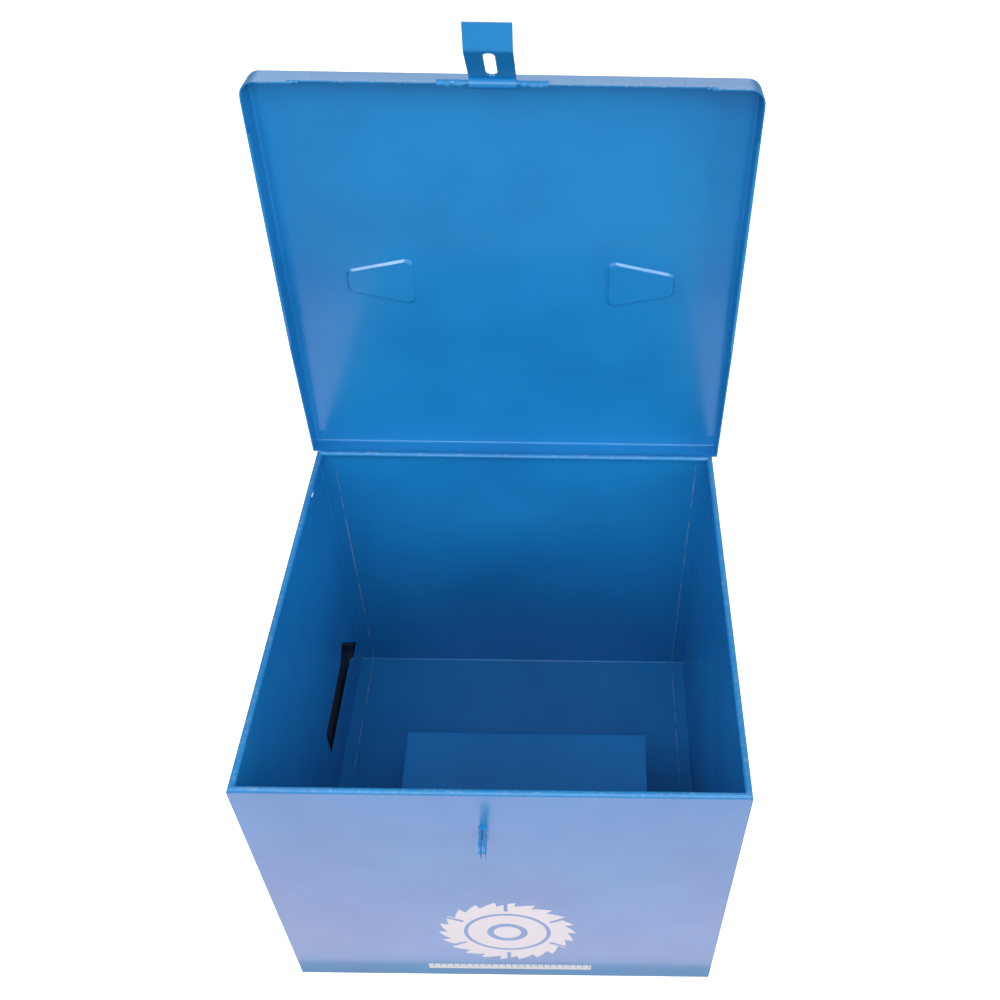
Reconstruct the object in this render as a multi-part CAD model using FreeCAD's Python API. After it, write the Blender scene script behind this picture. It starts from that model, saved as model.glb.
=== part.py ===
import FreeCAD, Part
import math
import os

V = FreeCAD.Vector
X = V(1, 0, 0)
Y = V(0, 1, 0)
Z = V(0, 0, 1)

# Sheet steel case for a portable circular saw: an open box, a lid hinged along the back,
# a hasp on the front of the lid, a padlock staple on the box and a bail handle on the lid.
# Millimetres. X runs to the right, Y to the back, Z up.
# The origin is the middle of the bottom face. The lid stands open in the rest position.

# Box
case_width = 320.0
case_depth = 302.0
case_height = 284.0
sheet = 0.9
wrap_bend = 2.7
rim_roll = 4.5
lap_width = 12.5
lap_bend = 1.8
lap_relief = 7.0
corner_relief = 2.4
overrun = 5.0
parallel_share = 0.999

# Hole for a hanging hook, high in the left side
side_hole_radius = 4.5
side_hole_drop = 12.5
side_hole_inset = 36.0

# Slot low in the left side, with its slanted wider end to the back
slot_back_gap = 7.0
slot_bottom = 47.0
slot_height = 33.0
slot_length = 72.0
slot_head_rise = 11.0
slot_head_drop = 12.0
slot_head_length = 16.0
slot_slant_run = 42.0
slot_heel = 17.0
slot_corner = 1.5

# Closed pocket over the slot, on the outside
pocket_margin = 6.0
pocket_back_margin = 4.0
pocket_depth = 16.0
pocket_taper = 7.0
pocket_corner = 5.0

# Raised shelf that the shoe of the saw stands on
shelf_width = 205.0
shelf_depth = 180.0
shelf_height = 64.0
shelf_left_gap = 68.0
shelf_sheet = 1.2
shelf_bend = 1.8
shelf_lip = 18.0
shelf_foot = 16.0

# Lid
lid_side_clearance = 4.1
lid_front_clearance = 2.1
lid_back_clearance = 2.5
lid_seat_gap = 0.3
lid_front_flange = 17.5
lid_side_flange = 21.0
lid_back_flange = 14.0
lid_tab_height = 20.5
lid_tab_length = 34.0
lid_corner = 10.0
lid_bend = 2.6
lid_hem = 8.0
lid_taper_length = 110.0
lid_open_angle = 92.5

# Pressed pockets in the lid for the ends of the handle
recess_depth = 1.8
recess_length = 49.0
recess_wide = 39.0
recess_narrow = 18.0
recess_spacing = 141.0
recess_draft = 1.4
recess_corner = 6.0

# Bail handle and the straps that hold it
bail_radius = 3.0
bail_reach = 46.0
bail_corner = 10.0
bail_foot_bend = 6.0
bail_leg_inset = 5.0
bail_end_length = 34.0
bail_fold_angle = 16.0
bail_clearance = 0.3
strap_sheet = 1.5
strap_width = 16.0
strap_wing = 9.0
strap_bend = 2.4

# Hinges
hinge_pin_radius = 2.0
hinge_bore_clearance = 0.1
hinge_sheet = 1.3
hinge_drop = 10.0
hinge_running_gap = 0.3
hinge_inset = 60.0
knuckle_length = 16.0
knuckle_gap = 0.4
hinge_leaf_height = 26.0
hinge_jog_angle = 60.0
hinge_bend = 2.0
pin_proud = 1.2

# Hasp, its rod and the staple
hasp_offset = -6.0
hasp_rod_radius = 2.0
hasp_rod_length = 70.0
hasp_bore_clearance = 0.1
hasp_sheet = 1.5
hasp_width = 29.5
hasp_wall_gap = 0.5
hasp_weld_gap = 0.05
hasp_reach = 38.0
hasp_tab_length = 16.5
hasp_tab_angle = 45.0
hasp_bend = 4.0
hasp_slot_start = 5.3
hasp_slot_length = 31.0
hasp_slot_width = 7.3
hasp_slot_round_share = 0.98
hasp_raised_angle = 45.0
hasp_notch_gap = 1.0
staple_drop = 39.0
staple_height = 13.5
staple_reach = 17.0
staple_sheet = 1.5
staple_slit = 1.4
staple_join = 2.0
staple_corner = 4.0
staple_eye_radius = 3.6
staple_eye_reach = 11.8

# Places worked out from the sizes above
front_face = -case_depth / 2
back_face = case_depth / 2
left_face = -case_width / 2
right_face = case_width / 2
rim_bottom = case_height - rim_roll
lid_underside = case_height + lid_seat_gap
lid_top = lid_underside + sheet
lid_half_width = right_face + lid_side_clearance + sheet
lid_front = front_face - lid_front_clearance - sheet
lid_back = back_face + lid_back_clearance + sheet
lid_middle = (lid_front + lid_back) / 2
hinge_middle = right_face - hinge_inset
knuckle_bore = hinge_pin_radius + hinge_bore_clearance
knuckle_radius = knuckle_bore + hinge_sheet
hinge_y = lid_back + hinge_running_gap + knuckle_radius
hinge_z = case_height - hinge_drop
hasp_bore = hasp_rod_radius + hasp_bore_clearance
hasp_curl_radius = hasp_bore + hasp_sheet
hasp_y = front_face - hasp_wall_gap - hasp_curl_radius
hasp_seat = hasp_rod_radius + hasp_weld_gap
hasp_z = lid_top - lid_front_flange - math.sqrt(hasp_seat ** 2 - (lid_front - hasp_y) ** 2)
bail_z = lid_top - recess_depth + bail_clearance + bail_radius


def box(x0, x1, y0, y1, z0, z1):
    """A block between two corners."""
    return Part.makeBox(x1 - x0, y1 - y0, z1 - z0, V(x0, y0, z0))


def rod(radius, x0, x1, y, z):
    """A round bar along X."""
    return Part.makeCylinder(radius, x1 - x0, V(x0, y, z), X)


def prism(outline, x0, x1):
    """A block along X whose section is an outline of (y, z) points."""
    points = [V(x0, y, z) for y, z in outline]
    face = Part.Face(Part.makePolygon(points + points[:1]))
    return face.extrude(V(x1 - x0, 0, 0))


def plate(outline, z0, z1):
    """A block along Z whose plan is an outline of (x, y) points."""
    points = [V(x, y, z0) for x, y in outline]
    face = Part.Face(Part.makePolygon(points + points[:1]))
    return face.extrude(V(0, 0, z1 - z0))


def round_edges(shape, radius, along, wanted=lambda middle: True):
    """Rounds the edges that run along an axis, or any way if it is None, and pass a test."""
    edges = []
    for edge in shape.Edges:
        run = edge.valueAt(edge.LastParameter) - edge.valueAt(edge.FirstParameter)
        middle = edge.valueAt((edge.FirstParameter + edge.LastParameter) / 2)
        parallel = along is None or abs(run.dot(along)) > run.Length * parallel_share
        if parallel and wanted(middle):
            edges.append(edge)
    return shape.makeFillet(radius, edges)


def rounded_path(points, radii):
    """Edges through the points, with every inner corner rounded to its own radius."""
    edges = []
    at = points[0]
    for before, corner, after, radius in zip(points, points[1:], points[2:], radii):
        back = (before - corner).normalize()
        ahead = (after - corner).normalize()
        toward = (back + ahead).normalize()
        half_angle = back.getAngle(ahead) / 2
        start = corner + back * (radius / math.tan(half_angle))
        end = corner + ahead * (radius / math.tan(half_angle))
        middle = corner + toward * (radius / math.sin(half_angle) - radius)
        edges.append(Part.LineSegment(at, start).toShape())
        edges.append(Part.Arc(start, middle, end).toShape())
        at = end
    edges.append(Part.LineSegment(at, points[-1]).toShape())
    return edges


def bent_sheet(route, thickness, bend, x0, x1):
    """A strip of sheet along X that follows a route of (y, z) points with rounded bends."""
    points = [V(x0, y, z) for y, z in route]
    runs = [(b - a).normalize() for a, b in zip(points, points[1:])]
    normals = [X.cross(run) for run in runs]
    outline = []
    ends = []
    for offset in (thickness / 2, -thickness / 2):
        side = [points[0] + normals[0] * offset]
        radii = []
        for i in range(1, len(runs)):
            spread = normals[i - 1] + normals[i]
            side.append(points[i] + spread * (offset / (1 + normals[i - 1].dot(normals[i]))))
            turn = runs[i - 1].cross(runs[i]).dot(X)
            radii.append(bend - math.copysign(offset, offset * turn))
        side.append(points[-1] + normals[-1] * offset)
        outline.extend(rounded_path(side, radii))
        ends.append((side[0], side[-1]))
    for a, b in zip(ends[0], ends[1]):
        outline.append(Part.LineSegment(a, b).toShape())
    wire = Part.Wire(Part.__sortEdges__(outline))
    return Part.Face(wire).extrude(V(x1 - x0, 0, 0))


def frustum(lower, upper):
    """A solid with flat sides between two outlines of as many points."""
    faces = [Part.Face(Part.makePolygon(loop + loop[:1])) for loop in (lower, upper)]
    for i in range(len(lower)):
        side = [lower[i - 1], lower[i], upper[i], upper[i - 1]]
        faces.append(Part.Face(Part.makePolygon(side + side[:1])))
    return Part.Solid(Part.Shell(faces))


def ring(outer, inner, x0, x1, y, z):
    """A short tube along X, as a curled knuckle is."""
    bore = rod(inner, x0 - overrun, x1 + overrun, y, z)
    return rod(outer, x0, x1, y, z).cut(bore)


def opened(shape):
    """Turns a piece of the closed lid about the hinge pins to where the lid stands."""
    turned = shape.copy()
    turned.rotate(V(0, hinge_y, hinge_z), X, -lid_open_angle)
    return turned


def rim(length):
    """The rolled top edge of one wall: a stub of wall and a roll that turns inwards.

    It is made along X with its outer face at y = 0 and its roll towards +y,
    and its ends are mitred."""
    radius = rim_roll / 2
    half = length / 2
    centre_z = case_height - radius
    stub = box(-half, half, 0, sheet, rim_bottom, centre_z)
    roll = ring(radius, radius - sheet, -half, half, radius, centre_z)
    gap = box(-half, half, 0, radius, rim_bottom, centre_z)
    profile = roll.cut(gap).fuse(stub)
    mitre = [(-half, 0), (half, 0), (half - rim_roll, rim_roll), (-half + rim_roll, rim_roll)]
    keep = plate(mitre, rim_bottom, case_height)
    return profile.common(keep)


def turned_rim(length, angle, reach):
    """A rim turned about Z, with its outer face at a distance from the middle."""
    piece = rim(length)
    piece.translate(V(0, -reach, 0))
    piece.rotate(V(0, 0, 0), Z, angle)
    return piece


def body_wrap():
    """Front, floor and back in one sheet, bent up along two lines."""
    outer = box(left_face, right_face, front_face, back_face, 0, rim_bottom)
    outer = round_edges(outer, wrap_bend, X, lambda middle: middle.z < sheet)
    inner = box(left_face, right_face, front_face + sheet, back_face - sheet, sheet, rim_bottom)
    inner = round_edges(inner, wrap_bend - sheet, X, lambda middle: middle.z < 2 * sheet)
    walls = outer.cut(inner)
    front_rim = turned_rim(case_width, 0, back_face)
    back_rim = turned_rim(case_width, 180, back_face)
    return walls.fuse([front_rim, back_rim]).removeSplitter()


def pan_block(x0, x1, reach, z0, z1, bend):
    """A block whose edges round its right face are bent, but for the top one."""
    block = box(x0, x1, -reach, reach, z0, z1)
    return round_edges(block, bend, None, lambda middle: middle.x > x1 - bend / 2 and middle.z < z1 - bend)


def lapped_side():
    """The right side: a plate with narrow laps turned inwards against the wrap.

    The laps are notched apart at the lower corners, and cut short under the rim."""
    reach = back_face - sheet
    lap_end = right_face - lap_width
    outer = pan_block(lap_end, right_face, reach, sheet, rim_bottom, lap_bend)
    inner_end = lap_end - overrun
    inner_face = right_face - sheet
    inner = pan_block(inner_end, inner_face, reach - sheet, 2 * sheet, case_height, lap_bend - sheet)
    cuts = [inner, box(inner_end, right_face - lap_bend, -reach, reach, rim_bottom - lap_relief, rim_bottom)]
    for side in (-1, 1):
        y0, y1 = sorted((side * reach, side * (reach - corner_relief)))
        cuts.append(box(inner_end, right_face, y0, y1, sheet, sheet + corner_relief))
    side_rim = turned_rim(case_depth, 90, right_face)
    return outer.cut(cuts).fuse(side_rim).removeSplitter()


def slot_outline():
    """The slot low in the left side, as (y, z) points from its lower front corner."""
    y3 = back_face - slot_back_gap
    y2 = y3 - slot_slant_run
    y1 = y2 - slot_head_length
    y0 = y1 - slot_length
    z0 = slot_bottom
    z1 = slot_bottom + slot_height
    high = z1 + slot_head_rise
    low = z0 - slot_head_drop
    heel = y3 - slot_heel
    neck = heel - slot_head_drop
    return [(y0, z0), (y0, z1), (y1, z1), (y2, high), (y3, low), (heel, low), (neck, z0)]


def left_side_panel():
    """The left side: the right one mirrored, with a hanging hole and the slot."""
    panel = lapped_side().mirror(V(0, 0, 0), X)
    hole_y = back_face - side_hole_inset
    hole_z = case_height - side_hole_drop
    hole = rod(side_hole_radius, left_face - overrun, left_face + overrun, hole_y, hole_z)
    slot = prism(slot_outline(), left_face - overrun, left_face + overrun)
    return panel.cut([hole, round_edges(slot, slot_corner, X)])


def pocket_form(inset):
    """The pocket's block, drawn in by an inset on all sides but the one at the wall."""
    places = slot_outline()
    y0 = min(y for y, z in places) - pocket_margin + inset
    y1 = max(y for y, z in places) + pocket_back_margin - inset
    z0 = min(z for y, z in places) - pocket_margin + inset
    z1 = max(z for y, z in places) + pocket_margin - inset
    loops = []
    for x, t in ((left_face, 0), (left_face - pocket_depth + inset, pocket_taper)):
        loops.append([V(x, y0 + t, z0 + t), V(x, y1 - t, z0 + t), V(x, y1 - t, z1 - t), V(x, y0 + t, z1 - t)])
    half_way = left_face - (pocket_depth - inset) / 2
    block = frustum(loops[0], loops[1])
    return round_edges(block, pocket_corner - inset, None, lambda middle: abs(middle.x - half_way) < sheet)


def blade_pocket():
    """The tapered closed pocket welded over the slot, on the outside."""
    return pocket_form(0).cut(pocket_form(sheet))


def saw_shelf():
    """The raised shelf: one bent sheet, welded to the front wall and to the floor."""
    half = shelf_sheet / 2
    y0 = front_face + sheet + half
    y1 = front_face + shelf_depth - half
    top = shelf_height - half
    floor = sheet + half
    route = [(y0, top - shelf_lip), (y0, top), (y1, top), (y1, floor), (y1 - shelf_foot, floor)]
    x0 = left_face + shelf_left_gap
    return bent_sheet(route, shelf_sheet, shelf_bend, x0, x0 + shelf_width)


def staple():
    """The padlock staple: a strip folded double, closed at the wall and welded to it on edge."""
    half = staple_sheet + staple_slit / 2
    top = case_height - staple_drop
    bottom = top - staple_height
    x0 = hasp_offset - half
    x1 = hasp_offset + half
    y0 = front_face - staple_reach
    blank = box(x0, x1, y0, front_face, bottom, top)
    blank = round_edges(blank, staple_corner, X, lambda middle: middle.y < y0 + sheet)
    slit_x0 = hasp_offset - staple_slit / 2
    slit_x1 = hasp_offset + staple_slit / 2
    slit = box(slit_x0, slit_x1, y0 - overrun, front_face - staple_join, bottom - overrun, top + overrun)
    eye_y = front_face - staple_eye_reach
    eye_z = (top + bottom) / 2
    eye = rod(staple_eye_radius, x0 - overrun, x1 + overrun, eye_y, eye_z)
    return blank.cut([slit, eye])


def lid_blank(inset, top, corner, bend):
    """The outline block of the lid, drawn in by an inset."""
    half = lid_half_width - inset
    y0 = lid_front + inset
    y1 = lid_back - inset
    bottom = lid_top - lid_side_flange
    block = box(-half, half, y0, y1, bottom, top)
    block = round_edges(block, corner, Z, lambda middle: middle.y < lid_middle)
    return round_edges(block, bend, None, lambda middle: middle.z > top - bend / 2)


def recess_loop(inset, z):
    """The corners of the left handle recess at height z, drawn in evenly by an inset."""
    slope = (recess_wide - recess_narrow) / 2 / recess_length
    stretch = math.hypot(1, slope)
    wide = recess_wide / 2 - inset * (stretch + slope)
    narrow = recess_narrow / 2 - inset * (stretch - slope)
    x0 = -recess_spacing / 2 - inset
    x1 = -recess_spacing / 2 - recess_length + inset
    y = lid_middle
    return [V(x0, y - wide, z), V(x1, y - narrow, z), V(x1, y + narrow, z), V(x0, y + wide, z)]


def recess_forms(inset):
    """Both handle recesses as solids, drawn in by an inset."""
    top = lid_top if inset else lid_underside
    floor = lid_top - recess_depth - (sheet - inset)
    block = frustum(recess_loop(inset + recess_draft, floor), recess_loop(inset, top))
    left = round_edges(block, recess_corner, None,
                       lambda middle: abs(middle.z - (top + floor) / 2) < (top - floor) / 4)
    return [left, left.mirror(V(0, 0, 0), X)]


def lid_panel():
    """The lid: a pan with its edges turned down, hemmed sides and two handle recesses."""
    outer = lid_blank(0, lid_top, lid_corner, lid_bend)
    inner = lid_blank(sheet, lid_underside, lid_corner - sheet, lid_bend - sheet)
    bottom = lid_top - lid_side_flange
    hem_reach = lid_half_width - 2 * sheet
    hem_y0 = lid_front + lid_tab_length
    hem_y1 = lid_back - lid_taper_length
    hem_x = lid_half_width - sheet
    hems = []
    for side in (-1, 1):
        x0, x1 = sorted((side * hem_reach, side * hem_x))
        hems.append(box(x0, x1, hem_y0, hem_y1, bottom, bottom + lid_hem))
    pan = outer.cut(inner).fuse(hems)
    low = bottom - overrun
    tab_x = lid_half_width - lid_tab_length
    wide = lid_half_width + overrun
    front = box(-tab_x, tab_x, lid_front - overrun, lid_front + lid_corner, low, lid_top - lid_front_flange)
    tab_y = lid_front + lid_corner + sheet
    tabs = box(-wide, wide, lid_front - overrun, tab_y, low, lid_top - lid_tab_height)
    back_z = lid_top - lid_back_flange
    taper = [(lid_back - lid_taper_length, bottom), (lid_back - sheet, back_z), (lid_back + overrun, back_z)]
    taper = taper + [(lid_back + overrun, low), (lid_back - lid_taper_length, low)]
    back = prism(taper, -wide, wide)
    notch_half = hasp_width / 2 + hasp_notch_gap
    notch_top = hasp_z + hasp_curl_radius + hasp_notch_gap
    notch_x0 = hasp_offset - notch_half
    notch_x1 = hasp_offset + notch_half
    notch = box(notch_x0, notch_x1, lid_front - overrun, lid_front + lid_corner, low, notch_top)
    pan = pan.cut([front, tabs, back, notch])
    return pan.fuse(recess_forms(0)).cut(recess_forms(sheet)).removeSplitter()


def handle_strap(side):
    """A strap bent over one end of the handle, with a wing welded down each side of it."""
    half = strap_sheet / 2
    seat = lid_top + half
    hump = bail_radius + bail_clearance + half
    crown = bail_z + hump
    foot = recess_wide / 2 + strap_wing
    y = lid_middle
    route = [(y - foot, seat), (y - hump - strap_bend, seat), (y - hump, crown)]
    route = route + [(y + hump, crown), (y + hump + strap_bend, seat), (y + foot, seat)]
    middle = side * (recess_spacing / 2 + recess_length / 2)
    return bent_sheet(route, strap_sheet, strap_bend / 2, middle - strap_width / 2, middle + strap_width / 2)


def bail_point(x, reach):
    """A point of the handle: its place along X and its distance from the pivot line."""
    fold = math.radians(bail_fold_angle)
    return V(x, lid_middle + reach * math.cos(fold), bail_z + reach * math.sin(fold))


def handle_bail():
    """The carrying handle: a round bar bent twice each side, folded towards the hinges."""
    leg = recess_spacing / 2 + bail_leg_inset + bail_radius
    tip = leg + bail_end_length
    places = [(-tip, 0), (-leg, 0), (-leg, bail_reach), (leg, bail_reach), (leg, 0), (tip, 0)]
    bends = [bail_foot_bend, bail_corner, bail_corner, bail_foot_bend]
    path = Part.Wire(rounded_path([bail_point(x, reach) for x, reach in places], bends))
    section = Part.Wire(Part.makeCircle(bail_radius, bail_point(-tip, 0), X))
    return path.makePipeShell([section], True, False)


def hinge_spans(middle):
    """The ends along X of the three knuckles of one hinge."""
    pitch = knuckle_length + knuckle_gap
    half = knuckle_length / 2
    return [(middle + i * pitch - half, middle + i * pitch + half) for i in (-1, 0, 1)]


def case_leaf(middle):
    """The fixed leaf: welded to the back wall and jogged out to its middle knuckle."""
    spans = hinge_spans(middle)
    half = hinge_sheet / 2
    arm = knuckle_radius - half
    slope = math.radians(hinge_jog_angle)
    start = (hinge_y + arm * math.sin(slope), hinge_z - arm * math.cos(slope))
    plate_y = back_face + half
    turn_z = start[1] - (start[0] - plate_y) * math.tan(slope)
    bottom = turn_z - hinge_leaf_height
    route = [start, (plate_y, turn_z), (plate_y, bottom)]
    leaf = bent_sheet(route, hinge_sheet, hinge_bend, spans[0][0], spans[2][1])
    room = knuckle_radius + hinge_running_gap
    front = back_face + 2 * hinge_sheet
    back = hinge_y + room + overrun
    low = hinge_z - 2 * room
    high = hinge_z + room
    left_room = box(spans[0][0] - overrun, spans[0][1] + knuckle_gap, front, back, low, high)
    right_room = box(spans[2][0] - knuckle_gap, spans[2][1] + overrun, front, back, low, high)
    leaf = leaf.cut([left_room, right_room])
    knuckle = rod(knuckle_radius, spans[1][0], spans[1][1], hinge_y, hinge_z)
    bore = rod(knuckle_bore, spans[0][0], spans[2][1], hinge_y, hinge_z)
    return leaf.fuse(knuckle).cut(bore).removeSplitter()


def lid_leaf(middle):
    """The moving leaf: two outer knuckles and a plate welded to the lid's back flange."""
    spans = hinge_spans(middle)
    x0 = spans[0][0]
    x1 = spans[2][1]
    top = lid_top - lid_bend
    leaf = box(x0, x1, lid_back, lid_back + hinge_sheet, hinge_z, top)
    room = knuckle_radius + hinge_running_gap
    gap_x0 = spans[1][0] - knuckle_gap
    gap_x1 = spans[1][1] + knuckle_gap
    leaf = leaf.cut(box(gap_x0, gap_x1, lid_back - overrun, hinge_y, hinge_z - room, hinge_z + room))
    knuckles = [rod(knuckle_radius, a, b, hinge_y, hinge_z) for a, b in (spans[0], spans[2])]
    bore = rod(knuckle_bore, x0 - overrun, x1 + overrun, hinge_y, hinge_z)
    return leaf.fuse(knuckles).cut(bore).removeSplitter()


def hinge_pin(middle):
    """A plain pin, staked in the knuckles and a little proud of them at each end."""
    spans = hinge_spans(middle)
    return rod(hinge_pin_radius, spans[0][0] - pin_proud, spans[2][1] + pin_proud, hinge_y, hinge_z)


def hasp_rod():
    """The rod that the hasp turns on, welded under the lid's front flange."""
    half = hasp_rod_length / 2
    return rod(hasp_rod_radius, hasp_offset - half, hasp_offset + half, hasp_y, hasp_z)


def hasp_strap():
    """The hasp hanging straight down: a curl round the rod, a slot and a finger tab."""
    half = hasp_sheet / 2
    y = hasp_y - hasp_bore - half
    knee = hasp_z - hasp_reach
    slope = math.radians(hasp_tab_angle)
    tip = (y - hasp_tab_length * math.sin(slope), knee - hasp_tab_length * math.cos(slope))
    x0 = hasp_offset - hasp_width / 2
    x1 = hasp_offset + hasp_width / 2
    strap = bent_sheet([(y, hasp_z), (y, knee), tip], hasp_sheet, hasp_bend, x0, x1)
    curl = rod(hasp_curl_radius, x0, x1, hasp_y, hasp_z)
    bore = rod(hasp_bore, x0 - overrun, x1 + overrun, hasp_y, hasp_z)
    s0 = hasp_z - hasp_slot_start
    s1 = s0 - hasp_slot_length
    w = hasp_slot_width / 2
    slot = box(hasp_offset - w, hasp_offset + w, y - hasp_sheet, y + hasp_sheet, s1, s0)
    slot = round_edges(slot, w * hasp_slot_round_share, Y)
    return strap.fuse(curl).cut([bore, slot]).removeSplitter()


def raised_hasp():
    """The hasp swung out to where it stands in the rest position, before the lid opens."""
    strap = hasp_strap()
    strap.rotate(V(0, hasp_y, hasp_z), X, -hasp_raised_angle)
    return strap


def main():
    nodes = {
        "body_wrap": body_wrap(),
        "left_side_panel": left_side_panel(),
        "right_side_panel": lapped_side(),
        "blade_pocket": blade_pocket(),
        "saw_shelf": saw_shelf(),
        "padlock_staple": staple(),
        "left_hinge_case_leaf": case_leaf(-hinge_middle),
        "right_hinge_case_leaf": case_leaf(hinge_middle),
        "left_hinge_pin": hinge_pin(-hinge_middle),
        "right_hinge_pin": hinge_pin(hinge_middle),
        "lid_panel": opened(lid_panel()),
        "left_hinge_lid_leaf": opened(lid_leaf(-hinge_middle)),
        "right_hinge_lid_leaf": opened(lid_leaf(hinge_middle)),
        "left_handle_strap": opened(handle_strap(-1)),
        "right_handle_strap": opened(handle_strap(1)),
        "hasp_rod": opened(hasp_rod()),
        "hasp_strap": opened(raised_hasp()),
        "handle_bail": opened(handle_bail()),
    }
    os.makedirs("parts", exist_ok=True)
    for name, shape in nodes.items():
        low = shape.BoundBox
        print(name, len(shape.Solids), shape.isValid(), round(shape.Volume, 1),
              [round(v, 2) for v in (low.XMin, low.XMax, low.YMin, low.YMax, low.ZMin, low.ZMax)])
        shape.exportStep("parts/" + name + ".step")
    hinge = V(0, hinge_y, hinge_z)
    hasp = opened(Part.Vertex(V(hasp_offset, hasp_y, hasp_z))).Point
    bail = opened(Part.Vertex(V(0, lid_middle, bail_z))).Point
    eye = V(hasp_offset, front_face - staple_eye_reach, case_height - staple_drop - staple_height / 2)
    for name, point in (("hinge", hinge), ("hasp", hasp), ("bail", bail), ("staple eye", eye)):
        print(name, round(point.x, 3), round(point.y, 3), round(point.z, 3))


main()
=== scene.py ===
import math
import random

import bpy
from mathutils import Matrix, Vector


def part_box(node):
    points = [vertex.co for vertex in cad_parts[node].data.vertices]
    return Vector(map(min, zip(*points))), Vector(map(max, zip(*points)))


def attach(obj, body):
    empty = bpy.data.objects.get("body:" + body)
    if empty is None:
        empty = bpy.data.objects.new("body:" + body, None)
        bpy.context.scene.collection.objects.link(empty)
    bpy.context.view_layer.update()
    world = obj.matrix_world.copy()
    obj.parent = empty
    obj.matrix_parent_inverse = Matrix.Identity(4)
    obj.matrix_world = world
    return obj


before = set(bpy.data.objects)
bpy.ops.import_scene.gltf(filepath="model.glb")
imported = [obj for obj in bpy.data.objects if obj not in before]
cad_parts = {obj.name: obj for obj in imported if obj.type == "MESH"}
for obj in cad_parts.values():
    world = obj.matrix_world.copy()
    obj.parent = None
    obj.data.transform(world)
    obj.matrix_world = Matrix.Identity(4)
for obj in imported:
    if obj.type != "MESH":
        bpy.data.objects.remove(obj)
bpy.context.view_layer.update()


# Paint: shader maths on sockets, and one way to add every other node

class Field:
    """A number that varies over a surface, as a socket of a paint's node tree."""

    def __init__(self, paint, socket):
        self.paint = paint
        self.socket = socket

    def maths(self, operation, *others):
        values = dict(enumerate((self,) + others))
        return self.paint.node("ShaderNodeMath", {"operation": operation}, values)

    def __add__(self, other):
        return self.maths("ADD", other)

    def __sub__(self, other):
        return self.maths("SUBTRACT", other)

    def __mul__(self, other):
        return self.maths("MULTIPLY", other)

    def __rsub__(self, other):
        return self.paint.node("ShaderNodeMath", {"operation": "SUBTRACT"}, {0: other, 1: self})

    __radd__ = __add__

    def __abs__(self):
        return self.maths("ABSOLUTE")

    def fraction(self):
        return self.maths("FRACT")

    def at_least(self, other):
        return self.maths("MAXIMUM", other)

    def at_most(self, other):
        return self.maths("MINIMUM", other)

    def between(self, low, high):
        """0 below low and 1 above high, with a soft step, or the reverse if low is the larger."""
        values = {"Value": self, "From Min": low, "From Max": high}
        return self.paint.node("ShaderNodeMapRange", {"interpolation_type": "SMOOTHSTEP"}, values)

    def within(self, limit, soft):
        """1 where the number is nearer to 0 than the limit and 0 elsewhere, with a soft edge."""
        return abs(self).between(limit + soft, limit - soft)

    def beyond(self, limit, soft):
        """0 where the number is nearer to 0 than the limit and 1 elsewhere, with a soft edge."""
        return abs(self).between(limit - soft, limit + soft)


class Paint:
    """The nodes of a material or of the world, added one by one."""

    def __init__(self, owner):
        owner.use_nodes = True
        self.owner = owner
        self.tree = owner.node_tree
        self.tree.nodes.clear()

    def node(self, kind, settings=(), sockets=(), out=0):
        """Adds a node, sets it, fills its sockets with values or fields, and gives one output."""
        node = self.tree.nodes.new(kind)
        for name, value in dict(settings).items():
            setattr(node, name, value)
        for key, value in dict(sockets).items():
            if isinstance(value, Field):
                self.tree.links.new(value.socket, node.inputs[key])
            else:
                node.inputs[key].default_value = value
        return None if out is None else Field(self, node.outputs[out])

    def place(self):
        """The object's own coordinates, in metres from the middle of the case's bottom."""
        return self.node("ShaderNodeTexCoord", out="Object")

    def axes(self):
        """The three coordinates as separate numbers."""
        split = self.node("ShaderNodeSeparateXYZ", {}, {0: self.place()}).socket.node
        return [Field(self, output) for output in split.outputs]

    def reach(self, across, along):
        """The distance from where both numbers are 0."""
        spot = self.node("ShaderNodeCombineXYZ", {}, {"X": across, "Y": along})
        return self.node("ShaderNodeVectorMath", {"operation": "LENGTH"}, {0: spot}, out="Value")

    def noise(self, scale, detail=3.0, roughness=0.5):
        """Noise from 0 to 1, with its scale in lumps per metre."""
        values = {"Vector": self.place(), "Scale": scale, "Detail": detail, "Roughness": roughness}
        return self.node("ShaderNodeTexNoise", {}, values)

    def blend(self, mask, colour, other):
        """One colour where the mask is 0 and another where it is 1, by the colour sockets of a mix node."""
        values = {"Factor": mask, 6: colour, 7: other}
        return self.node("ShaderNodeMix", {"data_type": "RGBA"}, values, out=2)

    def bump(self, height, distance, below=None):
        """A bump of that many metres, on top of the one below it."""
        values = {"Height": height, "Distance": distance, "Strength": 1.0}
        if below is not None:
            values["Normal"] = below
        return self.node("ShaderNodeBump", {}, values)

    def mixed(self, mask, shader, other):
        """One shader where the mask is 0 and another where it is 1."""
        return self.node("ShaderNodeMixShader", {}, {0: mask, 1: shader, 2: other})

    def seen_by(self, *rays):
        """1 for the kinds of ray named, and 0 for the rest."""
        outputs = self.node("ShaderNodeLightPath").socket.node.outputs
        mask = Field(self, outputs[rays[0]])
        for name in rays[1:]:
            mask = mask.at_least(Field(self, outputs[name]))
        return mask

    def finish(self, shader, output="ShaderNodeOutputMaterial"):
        """Ends the paint in a shader."""
        self.node(output, {}, {"Surface": shader}, out=None)
        return self.owner


def colour(red, green, blue):
    return (red, green, blue, 1.0)


enamel_blue = colour(0.011, 0.236, 0.575)
enamel_deep = colour(0.009, 0.201, 0.515)
dust_grey = colour(0.30, 0.40, 0.50)
bare_steel = colour(0.42, 0.46, 0.50)
# Near-black used as painted shade inside the blade pocket
pocket_shade_black = colour(0.003, 0.018, 0.055)
print_white = colour(0.80, 0.81, 0.86)
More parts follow.
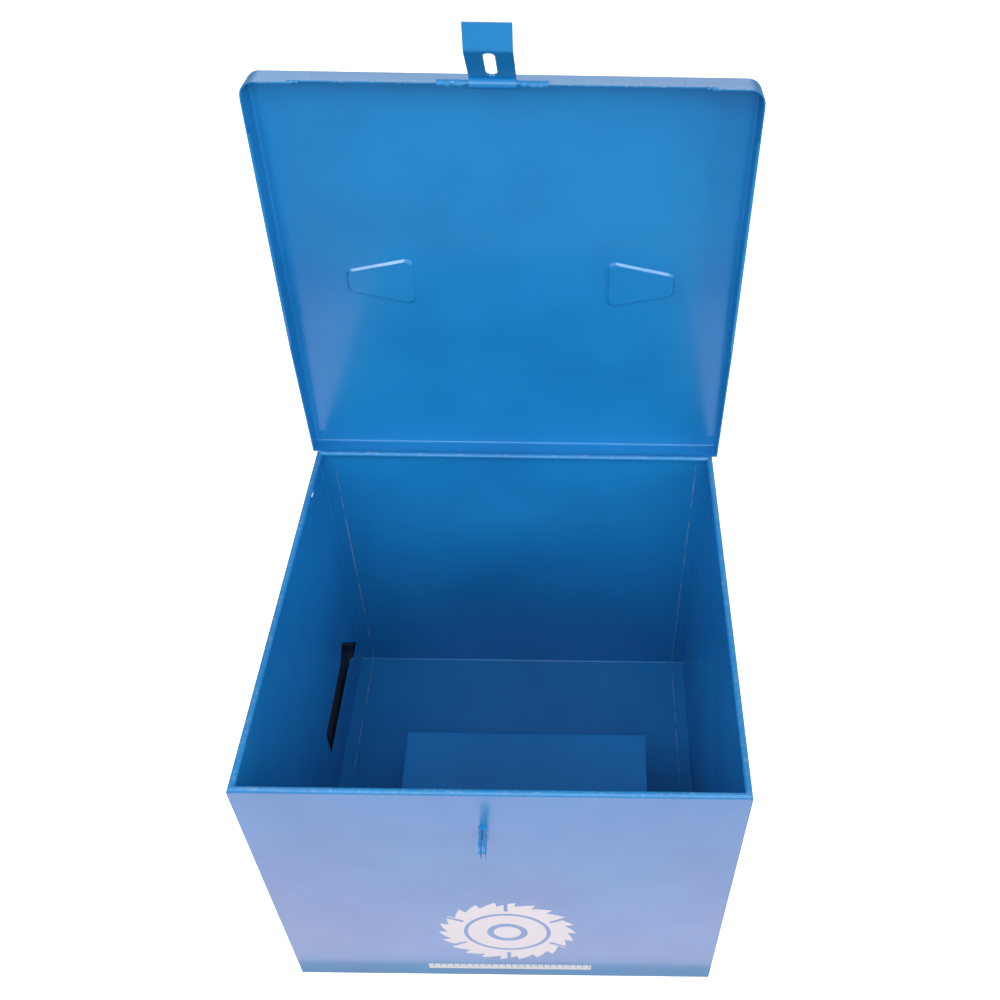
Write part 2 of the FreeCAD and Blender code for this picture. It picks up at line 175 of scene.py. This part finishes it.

# The roughness of clean enamel, and what haze, dust, wear and print add to it; the wear's share is also
# added where the pocket's inside is painted shade
clean_roughness = 0.28
haze_roughness = 0.12
dust_roughness = 0.2
wear_and_shade_roughness = 0.15
print_roughness = 0.12

# How much of the colour a speck of dust covers
dust_cover = 0.3

# How high the enamel's bumps stand, in metres: buckled sheet, runs of paint, grain and a weld's ripples
buckle_height = 0.0011
run_height = 0.00008
grain_height = 0.00005
ripple_height = 0.0003

# Places on the case, in metres from the middle of its bottom, seen from the front
case_front = -0.151
inner_face = 0.149
floor_top = 0.001
rim_top = 0.284
lap_edge = 0.14755

# The print on the front
disc_across = 0.004
disc_up = 0.083
disc_radius = 0.0505
tooth_count = 22
tooth_depth = 0.0065
ring_radius = 0.0305
ring_half_width = 0.00145
arbor_radius = 0.0125
arbor_half_width = 0.00245
slit_count = 6
slit_start = 0.036
slit_half_width = 0.001325
bar_up = 0.0185
bar_half_height = 0.0044
bar_half_length = 0.063
marks_per_metre = 200


def saw_disc_print(paint, x, y, z):
    """The white print on the front: a toothed disc with slits and an arbor hole, over a ruled bar."""
    across = x - disc_across
    up = z - disc_up
    reach = paint.reach(across, up)
    turn = up.maths("ARCTAN2", across) * (1 / math.tau)
    tooth = (turn * tooth_count).fraction() * tooth_depth
    disc = (disc_radius - tooth - reach).between(-0.0003, 0.0003)
    ring = (reach - ring_radius).beyond(ring_half_width, 0.00025)
    arbor = (reach - arbor_radius).beyond(arbor_half_width, 0.00025)
    slit = (((turn * slit_count).fraction() - 0.5) * reach).beyond(slit_half_width, 0.000175)
    slits = slit.at_least((reach - slit_start).between(0.0004, -0.0004))
    above_bar = z - bar_up
    bar = above_bar.within(bar_half_height, 0.0002) * across.within(bar_half_length, 0.0002)
    marks = (x * marks_per_metre).fraction().between(0.1, 0.16)
    ruled_bar = bar * marks.at_least(above_bar.between(0.0002, -0.0002))
    printed = (disc * ring * arbor * slits).at_least(ruled_bar)
    on_front = y.between(case_front + 0.0006, case_front + 0.0003)
    unworn = paint.noise(scale=900, detail=3, roughness=0.6).between(0.27, 0.36)
    return printed * on_front * unworn


def enamel(name, wear_and_shade_mask=None, mark=None, ripples=0.0, wear_and_shade_colour=bare_steel):
    """Glossy blue enamel on sheet steel: uneven depth, faint runs, dust specks and worn edges; the wear mask
    blends to bare steel for worn edges and to painted shade for the pocket's inside.
    """
    paint = Paint(bpy.data.materials.new(name))
    x, y, z = paint.axes()
    depth = paint.noise(scale=11, detail=4).between(0.35, 0.72)
    specks = paint.noise(scale=560, detail=2).between(0.74, 0.77)
    haze = paint.noise(scale=42, detail=5, roughness=0.65)
    base = paint.blend(depth, enamel_blue, enamel_deep)
    base = paint.blend(specks * dust_cover, base, dust_grey)
    roughness = clean_roughness + haze * haze_roughness + specks * dust_roughness
    # The wear mask blends to a second colour: real wear on edges, painted shade inside the pocket
    if wear_and_shade_mask is not None:
        worn_and_shaded = wear_and_shade_mask(paint, x, y, z)
        base = paint.blend(worn_and_shaded, base, wear_and_shade_colour)
        roughness = roughness + worn_and_shaded * wear_and_shade_roughness
    if mark is not None:
        white = mark(paint, x, y, z)
        base = paint.blend(white, base, print_white)
        roughness = roughness + white * print_roughness
    buckled = paint.bump(paint.noise(scale=6, detail=2), buckle_height)
    runs = paint.bump(paint.noise(scale=60, detail=3), run_height, buckled)
    skin = paint.bump(paint.noise(scale=700, detail=2), grain_height, runs)
    if ripples:
        skin = paint.bump(paint.noise(scale=1100, detail=3, roughness=0.7), ripples, skin)
    return paint.finish(paint.node("ShaderNodeBsdfPrincipled", {}, {
        "Base Color": base, "Roughness": roughness, "Normal": skin,
        "Coat Weight": 0.25, "Coat Roughness": 0.12, "IOR": 1.42}))


def rim_wear(paint, x, y, z):
    """Paint rubbed along the top of the rolled rim, and chipped in a line a little below it."""
    rubbed = z.between(rim_top - 0.0014, rim_top - 0.0002)
    rubbed_patches = paint.noise(scale=260, detail=5, roughness=0.65).between(0.5, 0.72) * 0.4
    chipped = z.between(rim_top - 0.0050, rim_top - 0.0040)
    chips = paint.noise(scale=1500, detail=2, roughness=0.6).between(0.62, 0.7) * 0.5
    return (rubbed * rubbed_patches).at_least(chipped * chips)


def side_wear_and_lap_highlight(paint, x, y, z):
    """The rim's wear, and a painted highlight along the free edges of the laps, where they meet wall and
    floor, as broken lighter patches.
    """
    near_wall = (inner_face - abs(y)).at_most(z - floor_top).between(0.0022, 0.0014)
    lap = (abs(x) - lap_edge).within(0.000575, 0.000175) * near_wall
    # Lighter patches along the lap edges are a painted highlight
    painted_lap_highlight = paint.noise(scale=90, detail=2, roughness=0.6).between(0.4, 0.56) * 0.55
    return rim_wear(paint, x, y, z).at_least(lap * painted_lap_highlight)


def lid_wear(paint, x, y, z):
    """Paint rubbed thin along the free edges of the lid's front and back flanges."""
    front_edge = y.between(0.1705, 0.1680) * z.between(0.583, 0.584)
    back_edge = y.between(0.1562, 0.1550) * z.between(0.290, 0.288)
    patches = paint.noise(scale=420, detail=4, roughness=0.6).between(0.52, 0.68) * 0.35
    return front_edge.at_least(back_edge) * patches


def pocket_inside_painted_shade(paint, x, y, z):
    """Painted shade: the pocket's faces that look towards the case, darkened as if in shadow."""
    facing = paint.node("ShaderNodeTexCoord", out="Normal")
    towards_case = paint.node("ShaderNodeSeparateXYZ", {}, {0: facing}, out="X")
    return towards_case.between(0.05, 0.15)


box_paint = enamel("box_enamel", rim_wear, saw_disc_print)
side_paint = enamel("side_enamel", side_wear_and_lap_highlight)
lid_paint = enamel("lid_enamel", lid_wear)
hardware_paint = enamel("hardware_enamel")
# The pocket's inside is painted near-black as shade
pocket_shade_paint = enamel("pocket_enamel_painted_shade", pocket_inside_painted_shade, wear_and_shade_colour=pocket_shade_black)
weld_paint = enamel("weld_enamel", ripples=ripple_height)

paints = {"body_wrap": box_paint, "left_side_panel": side_paint, "right_side_panel": side_paint,
          "blade_pocket": pocket_shade_paint, "saw_shelf": side_paint, "lid_panel": lid_paint}
for name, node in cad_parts.items():
    node.data.materials.clear()
    node.data.materials.append(paints.get(name, hardware_paint))


# Welds: beads of small lumps run together. Sizes and places are in metres

hinge_back = 0.1581
hinge_up = 0.274
lid_angle = math.radians(92.5)

# A bead's lumps, in radii of the bead, and the voxels that its radius is cut into to melt them
lump_spacing = 0.9
lump_scatter = 0.18
smallest_lump = 0.8
largest_lump = 1.05
voxels_per_radius = 5

seeds = {"left": 4, "right": 5}


def open_point(x, y, z):
    """Where a point of the closed lid stands while the lid is open."""
    back, up = y - hinge_back, z - hinge_up
    turned_back = back * math.cos(lid_angle) + up * math.sin(lid_angle)
    turned_up = up * math.cos(lid_angle) - back * math.sin(lid_angle)
    return (x, hinge_back + turned_back, hinge_up + turned_up)


def weld_bead(name, body, start, end, radius, seed):
    """A bead from one point to another, of overlapping uneven lumps melted into one skin."""
    chance = random.Random(seed)
    start, end = Vector(start), Vector(end)
    steps = max(2, round((end - start).length / (radius * lump_spacing)))
    lumps = []
    for i in range(steps + 1):
        spot = start.lerp(end, i / steps)
        spot += Vector([chance.uniform(-lump_scatter, lump_scatter) * radius for axis in range(3)])
        size = radius * chance.uniform(smallest_lump, largest_lump)
        bpy.ops.mesh.primitive_ico_sphere_add(subdivisions=2, radius=size, location=spot)
        lumps.append(bpy.context.object)
    for lump in lumps:
        lump.select_set(True)
    bpy.ops.object.join()
    bead = bpy.context.object
    bead.name = name
    bpy.ops.object.transform_apply(location=True, rotation=True, scale=True)
    melt = bead.modifiers.new("melt", "REMESH")
    melt.mode = "VOXEL"
    melt.voxel_size = radius / voxels_per_radius
    bpy.ops.object.modifier_apply(modifier="melt")
    soften = bead.modifiers.new("soften", "SMOOTH")
    soften.iterations = 3
    bpy.ops.object.modifier_apply(modifier="soften")
    bpy.ops.object.shade_smooth()
    bead.data.materials.append(weld_paint)
    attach(bead, body)


def hasp_rod_welds():
    """Both ends of the hasp's rod are welded along the free edge of the lid's front flange."""
    back, up = -0.1547, 0.2650
    for side, x0, x1 in (("left", -0.0395, -0.0240), ("right", 0.0120, 0.0275)):
        start, end = open_point(x0, back, up), open_point(x1, back, up)
        weld_bead(f"hasp_rod_{side}_weld", "lid", start, end, radius=0.0021, seed=seeds[side])


def tab_welds():
    """Each corner tab of the lid's front flange ends in a short weld."""
    back, up = -0.1537, 0.2665
    half_length = 0.003
    for side, x in (("left", -0.131), ("right", 0.131)):
        start, end = open_point(x - half_length, back, up), open_point(x + half_length, back, up)
        weld_bead(f"lid_{side}_tab_weld", "lid", start, end, radius=0.0011, seed=seeds[side])


def staple_welds():
    """The staple is welded to the front wall down both sides."""
    low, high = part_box("padlock_staple")
    inset = 0.0015
    for side, x in (("left", low[0]), ("right", high[0])):
        start, end = (x, high[1], low[2] + inset), (x, high[1], high[2] - inset)
        weld_bead(f"staple_{side}_weld", "case", start, end, radius=0.0012, seed=seeds[side])


def shelf_welds():
    """Short welds hold the shelf's front lip to the front wall, at both ends."""
    low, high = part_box("saw_shelf")
    back = low[1] + 0.0004
    length = 0.004
    for side, x in (("left", low[0]), ("right", high[0])):
        for level, depth in (("upper", 0.009), ("lower", 0.017)):
            start, end = (x, back, high[2] - depth), (x, back, high[2] - depth + length)
            weld_bead(f"shelf_{side}_{level}_weld", "case", start, end, radius=0.0009, seed=3)


def hinge_welds():
    """The case's leaf of each hinge is welded to the back wall along both its ends."""
    for side in ("left", "right"):
        low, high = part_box(side + "_hinge_case_leaf")
        back = low[1] + 0.0006
        for end, x in (("left", low[0]), ("right", high[0])):
            bottom, top = (x, back, low[2] + 0.002), (x, back, low[2] + 0.018)
            weld_bead(f"{side}_hinge_case_{end}_weld", "case", bottom, top,
                      radius=0.0011, seed=seeds[side] + seeds[end])


def pocket_welds():
    """Short welds along the foot of the pocket, above and below, hold it to the left side."""
    low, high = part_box("blade_pocket")
    wall = -0.1602
    spots = 5
    half_length = 0.005
    for i in range(spots):
        y = low[1] + (high[1] - low[1]) * (i + 0.5) / spots
        for level, z in (("upper", high[2]), ("lower", low[2])):
            start, end = (wall, y - half_length, z), (wall, y + half_length, z)
            weld_bead(f"pocket_{level}_weld_{i + 1}", "case", start, end, radius=0.0013, seed=i)


hasp_rod_welds()
tab_welds()
staple_welds()
shelf_welds()
hinge_welds()
pocket_welds()


# The studio: a white floor, soft lamps and the photograph's camera

white = colour(1, 1, 1)
white_light = (1, 1, 1)
pale_violet_light = (1.0, 0.62, 0.76)

# What the floor gives back: greys for light that falls on it, and strengths for what it gives by itself
matt_grey = 0.2
pale_grey = 0.8
glow_strength = 0.78
far_sheen_strength = 0.33
near_sheen_strength = 1.05
sheen_middle = -0.1
sheen_full_reach = 0.5
sheen_end_reach = 0.8

sky_strength_for_light = 0.3
sky_strength_for_camera = 1.0


def studio_floor():
    """A white floor that keeps the soft shadow of the case, and shines near the case for what gloss sees."""
    bpy.ops.mesh.primitive_plane_add(size=30, location=(0, 0, 0))
    floor = bpy.context.object
    floor.name = "studio_floor"
    paint = Paint(bpy.data.materials.new("studio_white"))

    def matt(grey):
        return paint.node("ShaderNodeBsdfDiffuse", {}, {"Color": colour(grey, grey, grey)})

    def glow(strength):
        return paint.node("ShaderNodeEmission", {}, {"Color": white, "Strength": strength})

    x, y = paint.axes()[:2]
    near = paint.reach(x, y - sheen_middle).between(sheen_end_reach, sheen_full_reach)
    sheen = paint.mixed(near, glow(far_sheen_strength), glow(near_sheen_strength))
    lit = paint.node("ShaderNodeAddShader", {}, {0: matt(pale_grey), 1: glow(glow_strength)})
    shader = paint.mixed(paint.seen_by("Is Glossy Ray"), matt(matt_grey), sheen)
    shader = paint.mixed(paint.seen_by("Is Camera Ray", "Is Transmission Ray"), shader, lit)
    floor.data.materials.append(paint.finish(shader))


def studio_sky():
    """White for what the camera and glass see, and dimmer for the light that it gives."""
    world = bpy.data.worlds.new("studio_sky")
    bpy.context.scene.world = world
    paint = Paint(world)
    dim, bright = [paint.node("ShaderNodeBackground", {}, {"Color": white, "Strength": strength})
                   for strength in (sky_strength_for_light, sky_strength_for_camera)]
    shader = paint.mixed(paint.seen_by("Is Camera Ray", "Is Transmission Ray"), dim, bright)
    paint.finish(shader, "ShaderNodeOutputWorld")


def softbox(name, place, target, width, height, power, gleam=None):
    """A soft rectangular lamp that faces a point, or, with a gleam's colour, one that only gloss shows."""
    lamp = bpy.data.lights.new(name, "AREA")
    lamp.shape = "RECTANGLE"
    lamp.size = width
    lamp.size_y = height
    lamp.energy = power
    lamp.color = gleam or white_light
    box = bpy.data.objects.new(name, lamp)
    bpy.context.scene.collection.objects.link(box)
    box.location = place
    box.rotation_euler = (Vector(target) - Vector(place)).to_track_quat("-Z", "Y").to_euler()
    box.visible_camera = False
    box.visible_diffuse = gleam is None


def studio_lamps():
    """Soft lamps all round, and three gleams.

    Each overhead gleam stands where the sloping upper side of one of the lid's recesses reflects it to
    the camera. The low one lies in front of the case, for the front wall to reflect.
    Each row is a name, a place, the point faced, width, height and power, and a gleam's colour."""
    for row in (
            ("near_front_softbox", (0.0, -0.75, 0.95), (0, 0.1, 0.45), 0.9, 0.4, 2.9),
            ("high_front_softbox", (0.0, -0.6, 1.4), (0, 0.1, 0.4), 1.0, 0.5, 2.7),
            ("far_front_softbox", (0.0, -2.4, 1.3), (0, 0.1, 0.35), 1.6, 1.0, 17),
            ("left_softbox", (-1.2, -0.35, 1.15), (0, 0.1, 0.4), 0.8, 0.8, 6.4),
            ("right_softbox", (1.2, -0.35, 1.15), (0, 0.1, 0.4), 0.8, 0.8, 3.4),
            ("far_right_softbox", (1.8, -0.7, 1.1), (0, 0, 0.3), 1.0, 1.0, 12.5),
            ("back_softbox", (0.0, 2.2, 1.7), (0, 0.1, 0.3), 2.4, 1.0, 15),
            ("left_overhead_gleam", (-0.71, -0.14, 1.7), (-0.07, 0.175, 0.44), 0.4, 0.25, 7,
             white_light),
            ("right_overhead_gleam", (0.53, -0.156, 1.7), (0.07, 0.175, 0.44), 0.4, 0.25, 5,
             white_light),
            ("low_front_gleam", (0.0, -0.345, 0.003), (0, -0.345, 1.0), 0.9, 0.37, 1.5,
             pale_violet_light)):
        softbox(*row)


def photo_camera():
    """The camera where the photograph was taken from, found from the corners of the case."""
    focal_length = 1061.3
    photo_width = 1000
    sensor_width = 36
    place = (0.0478, -0.4741, 0.8751)
    pitch = math.radians(43.86)
    yaw = math.radians(0.45)
    roll = math.radians(1.15)
    data = bpy.data.cameras.new("photo_camera")
    data.sensor_width = sensor_width
    data.lens = focal_length * sensor_width / photo_width
    data.shift_x = -0.0798
    data.shift_y = -0.0382
    camera = bpy.data.objects.new("photo_camera", data)
    bpy.context.scene.collection.objects.link(camera)
    forward = Vector((math.sin(yaw) * math.cos(pitch), math.cos(yaw) * math.cos(pitch), -math.sin(pitch)))
    level = Vector((math.cos(yaw), -math.sin(yaw), 0))
    upright = level.cross(forward)
    right = math.cos(roll) * level + math.sin(roll) * upright
    up = math.cos(roll) * upright - math.sin(roll) * level
    turn = Matrix((right, up, -forward)).transposed()
    camera.matrix_world = Matrix.Translation(place) @ turn.to_4x4()
    bpy.context.scene.camera = camera


studio_floor()
studio_sky()
studio_lamps()
photo_camera()
bpy.context.scene.view_settings.view_transform = "Standard"
